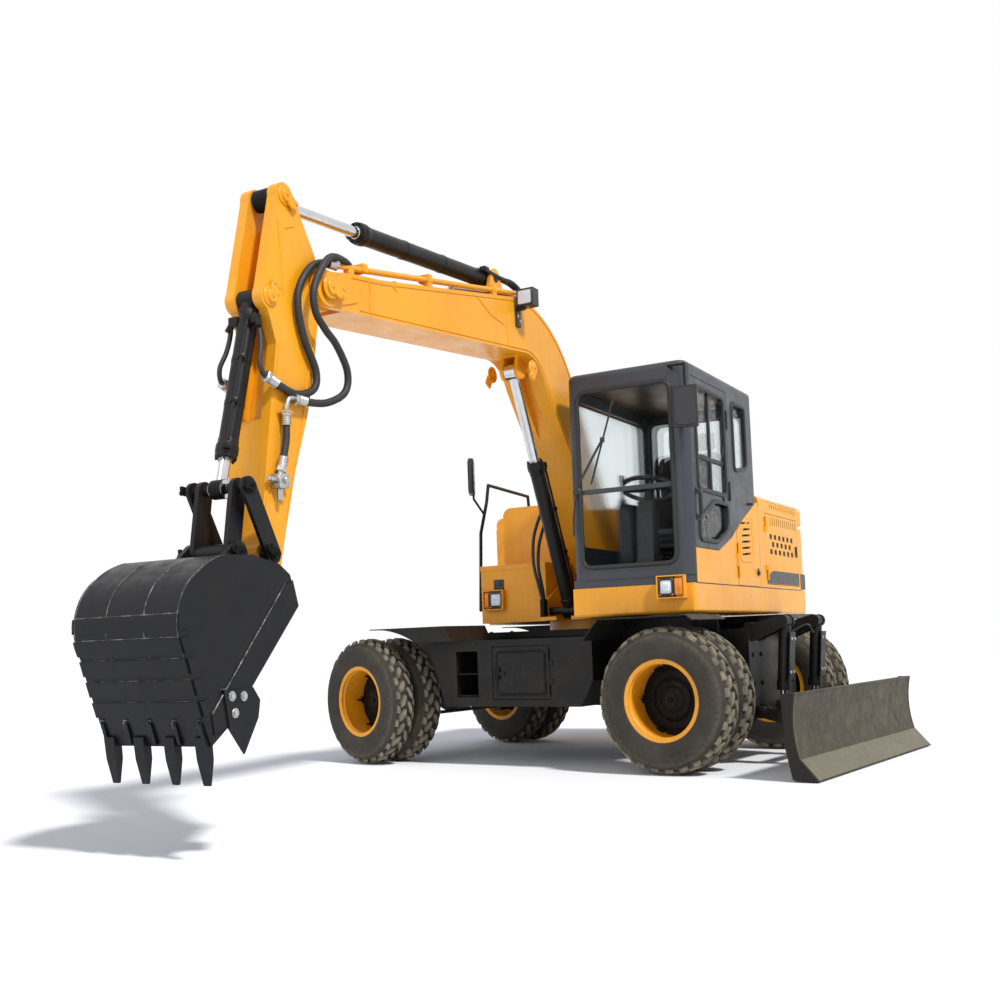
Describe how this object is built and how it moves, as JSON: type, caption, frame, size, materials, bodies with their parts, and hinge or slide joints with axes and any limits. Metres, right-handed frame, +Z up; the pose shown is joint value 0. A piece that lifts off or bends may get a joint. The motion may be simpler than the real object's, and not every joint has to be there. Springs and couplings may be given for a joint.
{
  "type": "wheeled excavator",
  "caption": "Wheeled excavator with twin tyres, slewing cab and engine house, one-piece boom, arm, bucket and a dozer blade",
  "frame": {"origin": "On the ground, under the slew axis", "axes": "+X along the boom and the cab's front at rest, +Y to the operator's left, +Z up. The undercarriage's blade end points 84 degrees to the left of +X."},
  "size_m": [6.7284, 4.3977, 3.4418],
  "materials": {
    "black_frame": "satin",
    "yellow_paint": "satin",
    "rim_yellow": "satin",
    "tyre_rubber": "matte",
    "worn_steel": "matte",
    "rod_chrome": "polished",
    "dark_grey_paint": "satin",
    "engine_grey": "matte",
    "cab_pane": "gloss",
    "seat_cloth": "matte",
    "black_plastic": "matte"
  },
  "bodies": {
    "undercarriage": {"chassis_frame": "black_frame", "side_boxes": "black_frame", "mudguards": "black_frame", "rear_axle": "black_frame", "front_axle": "black_frame", "driveline": "black_frame", "slew_ring": "yellow_paint"},
    "upper": {"swing_frame": "yellow_paint", "counterweight": "yellow_paint", "engine_house": "yellow_paint", "cab_side_panel": "yellow_paint", "tool_box": "yellow_paint", "fuel_tank": "yellow_paint", "engine_block": "engine_grey", "cab_shell": "dark_grey_paint", "cab_roof": "dark_grey_paint", "cab_glass": "cab_pane", "seat": "seat_cloth", "controls": "black_plastic", "handrails": "black_frame", "mirrors": "black_plastic", "head_lamps": "yellow_paint"},
    "left_knuckle": {"left_knuckle": "black_frame"},
    "right_knuckle": {"right_knuckle": "black_frame"},
    "tie_rod": {"tie_rod": "black_frame"},
    "left_box_door": {"left_box_door": "black_frame"},
    "right_box_door": {"right_box_door": "black_frame"},
    "blade": {"blade": "worn_steel"},
    "left_blade_cylinder": {"left_blade_cylinder": "black_frame"},
    "right_blade_cylinder": {"right_blade_cylinder": "black_frame"},
    "left_blade_rod": {"left_blade_rod": "rod_chrome"},
    "right_blade_rod": {"right_blade_rod": "rod_chrome"},
    "engine_hood": {"engine_hood": "yellow_paint"},
    "left_rear_door": {"left_rear_door": "yellow_paint"},
    "right_rear_door": {"right_rear_door": "yellow_paint"},
    "left_front_door": {"left_front_door": "yellow_paint"},
    "tool_box_lid": {"tool_box_lid": "yellow_paint"},
    "cab_door": {"cab_door": "dark_grey_paint", "cab_door_glass": "cab_pane"},
    "boom": {"boom": "yellow_paint", "boom_pipes": "yellow_paint", "work_lamp": "black_plastic"},
    "arm": {"arm": "yellow_paint"},
    "bucket": {"bucket": "worn_steel"},
    "bucket_link": {"bucket_link": "worn_steel"},
    "rocker_links": {"rocker_links": "worn_steel"},
    "boom_cylinder": {"boom_cylinder": "black_frame"},
    "boom_rod": {"boom_rod": "rod_chrome"},
    "arm_cylinder": {"arm_cylinder": "black_frame"},
    "arm_rod": {"arm_rod": "rod_chrome"},
    "bucket_cylinder": {"bucket_cylinder": "black_frame"},
    "bucket_rod": {"bucket_rod": "rod_chrome"},
    "front_left_wheel": {"front_left_wheel": "rim_yellow", "front_left_tyres": "tyre_rubber"},
    "front_right_wheel": {"front_right_wheel": "rim_yellow", "front_right_tyres": "tyre_rubber"},
    "rear_left_wheel": {"rear_left_wheel": "rim_yellow", "rear_left_tyres": "tyre_rubber"},
    "rear_right_wheel": {"rear_right_wheel": "rim_yellow", "rear_right_tyres": "tyre_rubber"}
  },
  "joints": [
    {"name": "slew", "type": "hinge", "parent": "undercarriage", "child": "upper", "pos_m": [0, 0, 1.06], "axis": [0, 0, -1], "continuous": true},
    {"name": "steer_left", "type": "hinge", "parent": "undercarriage", "child": "left_knuckle", "pos_m": [-0.92802, -1.36749, 0.489], "axis": [0, 0, 1], "range_deg": [-18.1, 41.9]},
    {"name": "steer_right", "type": "hinge", "parent": "undercarriage", "child": "right_knuckle", "pos_m": [0.62343, -1.53055, 0.489], "axis": [0, 0, 1], "range_deg": [-18.1, 41.9]},
    {"name": "tie_rod_end", "type": "hinge", "parent": "left_knuckle", "child": "tie_rod", "pos_m": [-0.89114, -1.25329, 0.354], "axis": [0, 0, 1], "range_deg": [-42, 18.2]},
    {"name": "front_left_wheel_spin", "type": "hinge", "parent": "left_knuckle", "child": "front_left_wheel", "pos_m": [-0.92802, -1.36749, 0.489], "axis": [-0.9516, 0.3074, 0], "continuous": true},
    {"name": "rear_left_wheel_spin", "type": "hinge", "parent": "undercarriage", "child": "rear_left_wheel", "pos_m": [-0.65939, 1.18844, 0.489], "axis": [-0.9945, 0.1045, 0], "continuous": true},
    {"name": "front_right_wheel_spin", "type": "hinge", "parent": "right_knuckle", "child": "front_right_wheel", "pos_m": [0.62343, -1.53055, 0.489], "axis": [-0.9516, 0.3074, 0], "continuous": true},
    {"name": "rear_right_wheel_spin", "type": "hinge", "parent": "undercarriage", "child": "rear_right_wheel", "pos_m": [0.89207, 1.02537, 0.489], "axis": [-0.9945, 0.1045, 0], "continuous": true},
    {"name": "blade_lift", "type": "hinge", "parent": "undercarriage", "child": "blade", "pos_m": [0.15366, 1.46195, 0.36], "axis": [0.9945, -0.1045, 0], "range_deg": [-8, 25]},
    {"name": "left_blade_cylinder_foot", "type": "hinge", "parent": "undercarriage", "child": "left_blade_cylinder", "pos_m": [-0.12536, 1.67729, 0.985], "axis": [0.9945, -0.1045, 0], "range_deg": [-4.5, 1.5]},
    {"name": "left_blade_rod_slide", "type": "slide", "parent": "left_blade_cylinder", "child": "left_blade_rod", "axis": [-0.0082, -0.0779, -0.9969], "range_m": [-0.055, 0.018]},
    {"name": "right_blade_cylinder_foot", "type": "hinge", "parent": "undercarriage", "child": "right_blade_cylinder", "pos_m": [0.47135, 1.61458, 0.985], "axis": [0.9945, -0.1045, 0], "range_deg": [-4.5, 1.5]},
    {"name": "right_blade_rod_slide", "type": "slide", "parent": "right_blade_cylinder", "child": "right_blade_rod", "axis": [-0.0082, -0.0779, -0.9969], "range_m": [-0.055, 0.018]},
    {"name": "right_box_door_hinge", "type": "hinge", "parent": "undercarriage", "child": "right_box_door", "pos_m": [1.01787, 0.04585, 0.69], "axis": [0, 0, 1], "range_deg": [0, 100]},
    {"name": "left_box_door_hinge", "type": "hinge", "parent": "undercarriage", "child": "left_box_door", "pos_m": [-0.98609, 0.25648, 0.69], "axis": [0, 0, -1], "range_deg": [0, 100]},
    {"name": "hood_hinge", "type": "hinge", "parent": "upper", "child": "engine_hood", "pos_m": [-0.479, 0, 1.982], "axis": [0, 1, 0], "range_deg": [0, 60]},
    {"name": "left_rear_door_hinge", "type": "hinge", "parent": "upper", "child": "left_rear_door", "pos_m": [-0.657, 1.186, 1.57], "axis": [0, 0, 1], "range_deg": [-110, 0]},
    {"name": "right_rear_door_hinge", "type": "hinge", "parent": "upper", "child": "right_rear_door", "pos_m": [-0.657, -1.186, 1.57], "axis": [0, 0, 1], "range_deg": [0, 110]},
    {"name": "left_front_door_hinge", "type": "hinge", "parent": "upper", "child": "left_front_door", "pos_m": [0.075, 1.186, 1.5], "axis": [0, 0, 1], "range_deg": [-100, 0]},
    {"name": "tool_box_lid_hinge", "type": "hinge", "parent": "upper", "child": "tool_box_lid", "pos_m": [0.21, -0.5, 1.503], "axis": [0, -1, 0], "range_deg": [0, 90]},
    {"name": "cab_door_hinge", "type": "hinge", "parent": "upper", "child": "cab_door", "pos_m": [0.21, 1.186, 2.2], "axis": [0, 0, 1], "range_deg": [0, 150]},
    {"name": "boom_foot", "type": "hinge", "parent": "upper", "child": "boom", "pos_m": [0, 0, 1.5], "axis": [0, -1, 0], "range_deg": [-45, 30]},
    {"name": "boom_cylinder_foot", "type": "hinge", "parent": "upper", "child": "boom_cylinder", "pos_m": [0.51, 0, 1.133], "axis": [0, -1, 0], "range_deg": [-46, 31]},
    {"name": "boom_rod_slide", "type": "slide", "parent": "boom_cylinder", "child": "boom_rod", "axis": [0.4262, 0, 0.9046], "range_m": [-0.47, 0.32]},
    {"name": "arm_pivot", "type": "hinge", "parent": "boom", "child": "arm", "pos_m": [3.62, 0, 2.8], "axis": [0, 1, 0], "range_deg": [-60, 55]},
    {"name": "arm_cylinder_foot", "type": "hinge", "parent": "boom", "child": "arm_cylinder", "pos_m": [1.65, 0, 3.38], "axis": [0, -1, 0], "range_deg": [-6, 6]},
    {"name": "arm_rod_slide", "type": "slide", "parent": "arm_cylinder", "child": "arm_rod", "axis": [0.9975, 0, -0.0709], "range_m": [-0.43, 0.4]},
    {"name": "bucket_pivot", "type": "hinge", "parent": "arm", "child": "bucket", "pos_m": [4.12, 0, 1.09], "axis": [0, 1, 0], "range_deg": [-15, 115]},
    {"name": "rocker_pivot", "type": "hinge", "parent": "arm", "child": "rocker_links", "pos_m": [4.114, 0, 1.374], "axis": [0, 1, 0], "range_deg": [-15, 112]},
    {"name": "link_pivot", "type": "hinge", "parent": "bucket", "child": "bucket_link", "pos_m": [4.328, 0, 1.375], "axis": [0, 1, 0], "range_deg": [-100, 15]},
    {"name": "bucket_cylinder_foot", "type": "hinge", "parent": "arm", "child": "bucket_cylinder", "pos_m": [4.03, 0, 2.665], "axis": [0, 1, 0], "range_deg": [-3, 3]},
    {"name": "bucket_rod_slide", "type": "slide", "parent": "bucket_cylinder", "child": "bucket_rod", "axis": [0.2472, 0, -0.969], "range_m": [-0.08, 0.6]}
  ],
  "couplings": [
    {"joint": "steer_right", "follows": "steer_left", "ratio": 1},
    {"joint": "tie_rod_end", "follows": "steer_left", "ratio": -1},
    {"joint": "left_blade_cylinder_foot", "follows": "blade_lift", "ratio": -0.1566},
    {"joint": "left_blade_rod_slide", "follows": "blade_lift", "m_per_rad": -0.11998},
    {"joint": "right_blade_cylinder_foot", "follows": "blade_lift", "ratio": -0.1566},
    {"joint": "right_blade_rod_slide", "follows": "blade_lift", "m_per_rad": -0.11998},
    {"joint": "boom_cylinder_foot", "follows": "boom_foot", "ratio": 1.0179},
    {"joint": "boom_rod_slide", "follows": "boom_foot", "m_per_rad": 0.5961},
    {"joint": "arm_cylinder_foot", "follows": "arm_pivot", "ratio": -0.0827},
    {"joint": "arm_rod_slide", "follows": "arm_pivot", "m_per_rad": 0.4044},
    {"joint": "rocker_pivot", "follows": "bucket_pivot", "ratio": 0.953},
    {"joint": "link_pivot", "follows": "bucket_pivot", "ratio": -0.86},
    {"joint": "bucket_cylinder_foot", "follows": "bucket_pivot", "ratio": -0.02},
    {"joint": "bucket_rod_slide", "follows": "bucket_pivot", "m_per_rad": 0.28}
  ]
}
